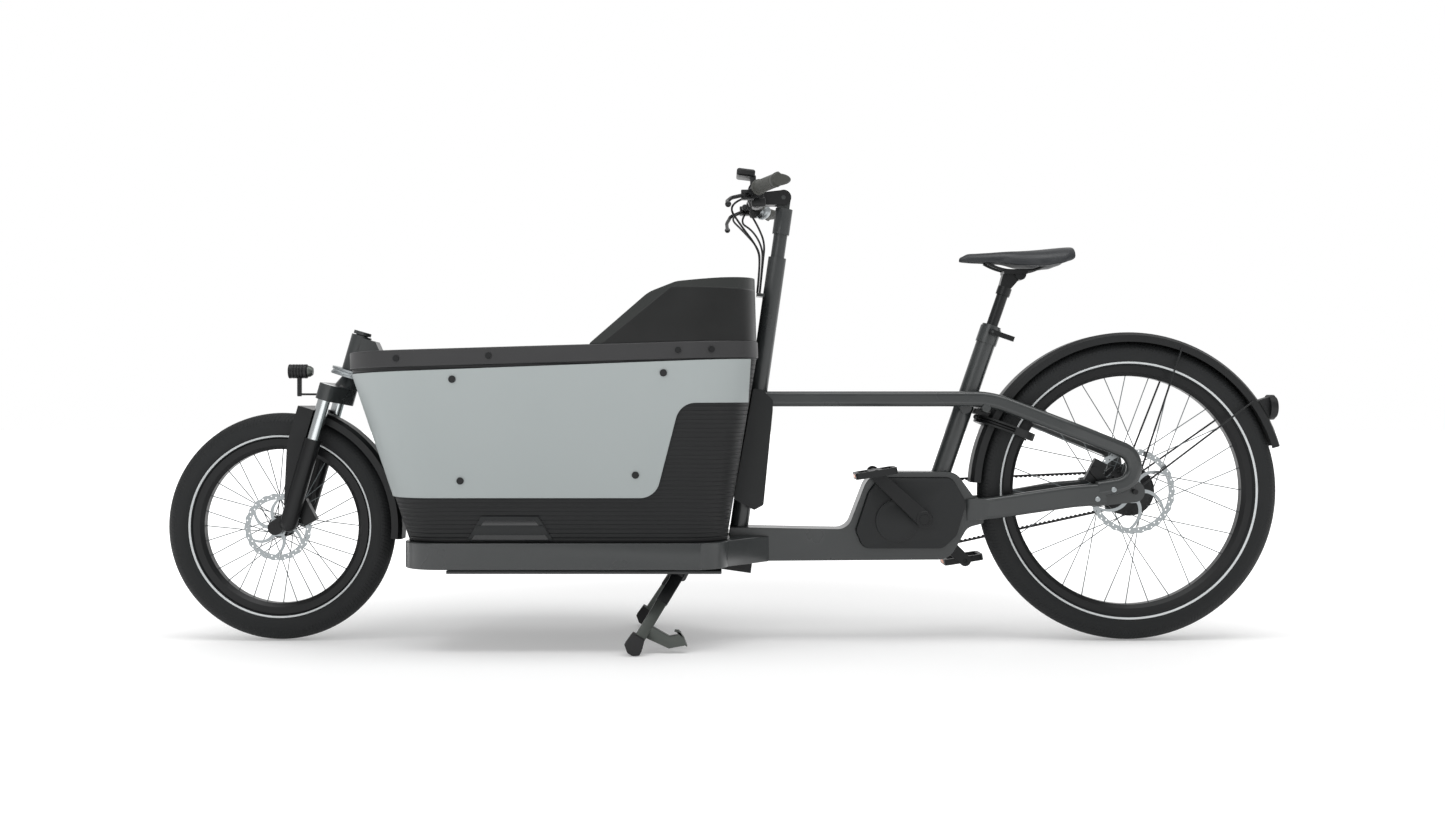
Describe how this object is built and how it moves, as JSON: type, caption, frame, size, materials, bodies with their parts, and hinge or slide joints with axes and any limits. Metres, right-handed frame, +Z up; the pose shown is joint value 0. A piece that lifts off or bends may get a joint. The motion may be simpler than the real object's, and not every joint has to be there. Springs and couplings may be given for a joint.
{
  "type": "cargo bicycle",
  "caption": "Two-wheeled electric cargo bicycle with a long front load box, mid motor, belt drive, cable steering, suspension fork and a two-legged stand.",
  "frame": {"origin": "on the ground, midway between the front of the front tyre and the back of the tail light, in the middle plane", "axes": "+X forward to the front wheel, +Y to the rider's left, +Z up"},
  "size_m": [2.6534, 0.627, 1.1239],
  "materials": {
    "frame_paint": "satin dark grey paint",
    "tub_plastic": "ribbed black moulded plastic",
    "rim_plastic": "dark grey moulded plastic",
    "backrest_plastic": "black satin plastic",
    "panel_grey": "light grey satin plastic",
    "black_metal": "black anodised metal",
    "bright_steel": "brushed steel",
    "stanchion_chrome": "polished chrome",
    "tyre_rubber": "black tyre rubber with a reflective stripe",
    "belt_rubber": "black rubber",
    "fender_plastic": "black satin plastic",
    "pedal_plastic": "black plastic with orange reflectors",
    "saddle_cover": "dark grey synthetic leather",
    "lamp_red": "red lens plastic",
    "cable_black": "black cable outer"
  },
  "bodies": {
    "frame": {"front_post": "frame_paint", "cargo_platform": "frame_paint", "centre_beam": "frame_paint", "steering_mast": "frame_paint", "seat_tube": "frame_paint", "side_tubes": "frame_paint", "chain_stays": "frame_paint", "motor_unit": "black_metal", "motor_covers": "tub_plastic", "battery_case": "tub_plastic", "tub": "tub_plastic", "cargo_rim": "rim_plastic", "side_panels": "panel_grey", "tub_bolts": "black_metal", "backrest": "backrest_plastic", "pulley_housing": "tub_plastic", "steering_bearings": "bright_steel", "rear_fender": "fender_plastic", "tail_light": "lamp_red", "ring_lock": "fender_plastic", "rear_caliper": "black_metal", "stand_bracket": "frame_paint", "drive_belt": "belt_rubber", "steering_cables": "cable_black", "rear_axle": "bright_steel"},
    "steerer": {"fork_crown": "frame_paint", "fork_stanchions": "stanchion_chrome", "steering_pulley": "bright_steel", "headlight": "fender_plastic"},
    "fork_slider": {"fork_lowers": "black_metal", "front_caliper": "black_metal", "front_fender": "fender_plastic", "front_axle": "bright_steel"},
    "front_wheel": {"front_tyre": "tyre_rubber", "front_rim": "black_metal", "front_spokes": "bright_steel", "front_hub": "black_metal", "front_rotor": "bright_steel"},
    "rear_wheel": {"rear_tyre": "tyre_rubber", "rear_rim": "black_metal", "rear_spokes": "bright_steel", "rear_hub": "black_metal", "rear_rotor": "bright_steel"},
    "sprocket": {"rear_sprocket": "black_metal"},
    "crankset": {"crank_arms": "black_metal", "belt_ring": "black_metal"},
    "left_pedal": {"pedal_left": "pedal_plastic"},
    "right_pedal": {"pedal_right": "pedal_plastic"},
    "column": {"column_tube": "frame_paint"},
    "handlebar": {"handlebar": "black_metal", "grips": "belt_rubber", "bar_controls": "fender_plastic", "handlebar_cables": "cable_black"},
    "left_lever": {"brake_lever_left": "black_metal"},
    "right_lever": {"brake_lever_right": "black_metal"},
    "seat": {"seatpost": "black_metal", "saddle": "saddle_cover"},
    "stand": {"stand_legs": "bright_steel"},
    "lock_bolt_body": {"lock_bolt": "bright_steel"},
    "seat_clamp_lever": {"seat_lever": "bright_steel"}
  },
  "joints": [
    {"name": "fork_steer", "type": "hinge", "parent": "frame", "child": "steerer", "pos_m": [1.00118, 0, 0.25566], "axis": [-0.279, 0, 0.9603], "range_deg": [-45, 45]},
    {"name": "column_turn", "type": "hinge", "parent": "frame", "child": "column", "pos_m": [-0.037, 0, 0.25], "axis": [-0.1409, 0, 0.99], "range_deg": [-58, 58]},
    {"name": "fork_travel", "type": "slide", "parent": "steerer", "child": "fork_slider", "axis": [-0.279, 0, 0.9603], "range_m": [0, 0.026], "stiffness_N_per_m": 9000, "springref_m": -0.03},
    {"name": "front_wheel_spin", "type": "hinge", "parent": "fork_slider", "child": "front_wheel", "pos_m": [1.054, 0, 0.271], "axis": [0, 1, 0], "continuous": true},
    {"name": "rear_wheel_spin", "type": "hinge", "parent": "frame", "child": "rear_wheel", "pos_m": [-0.967, 0, 0.357], "axis": [0, 1, 0], "continuous": true},
    {"name": "crank_spin", "type": "hinge", "parent": "frame", "child": "crankset", "pos_m": [-0.473, 0, 0.292], "axis": [0, 1, 0], "continuous": true},
    {"name": "sprocket_spin", "type": "hinge", "parent": "frame", "child": "sprocket", "pos_m": [-0.967, 0, 0.357], "axis": [0, 1, 0], "continuous": true},
    {"name": "pedal_left_spin", "type": "hinge", "parent": "crankset", "child": "left_pedal", "pos_m": [-0.35193, 0, 0.40411], "axis": [0, 1, 0], "continuous": true},
    {"name": "pedal_right_spin", "type": "hinge", "parent": "crankset", "child": "right_pedal", "pos_m": [-0.59406, 0, 0.17989], "axis": [0, 1, 0], "continuous": true},
    {"name": "stem_tilt", "type": "hinge", "parent": "column", "child": "handlebar", "pos_m": [-0.14561, 0, 1.05574], "axis": [0, 1, 0], "range_deg": [-40, 0], "deforming": ["handlebar_cables"]},
    {"name": "brake_left", "type": "hinge", "parent": "handlebar", "child": "left_lever", "pos_m": [-0.05061, 0.15, 1.04273], "axis": [0, 0, 1], "range_deg": [0, 20], "stiffness_Nm_per_rad": 0.8, "springref_deg": -17.19},
    {"name": "brake_right", "type": "hinge", "parent": "handlebar", "child": "right_lever", "pos_m": [-0.05061, -0.15, 1.04273], "axis": [0, 0, -1], "range_deg": [0, 20], "stiffness_Nm_per_rad": 0.8, "springref_deg": -17.19},
    {"name": "seat_height", "type": "slide", "parent": "frame", "child": "seat", "axis": [-0.3272, 0, 0.9449], "range_m": [-0.06, 0.12]},
    {"name": "seat_lever_swing", "type": "hinge", "parent": "frame", "child": "seat_clamp_lever", "pos_m": [-0.64014, 0.035, 0.73429], "axis": [0, 1, 0], "range_deg": [0, 120]},
    {"name": "kickstand_fold", "type": "hinge", "parent": "frame", "child": "stand", "pos_m": [0.103, 0, 0.166], "axis": [0, 1, 0], "range_deg": [0, 95]},
    {"name": "lock_bolt_turn", "type": "hinge", "parent": "frame", "child": "lock_bolt_body", "pos_m": [-0.67742, 0, 0.50455], "axis": [-0.342, 0, 0.9397], "range_deg": [0, 66]}
  ],
  "couplings": [
    {"joint": "column_turn", "follows": "fork_steer", "ratio": 1.2778},
    {"joint": "sprocket_spin", "follows": "crank_spin", "ratio": 2}
  ]
}
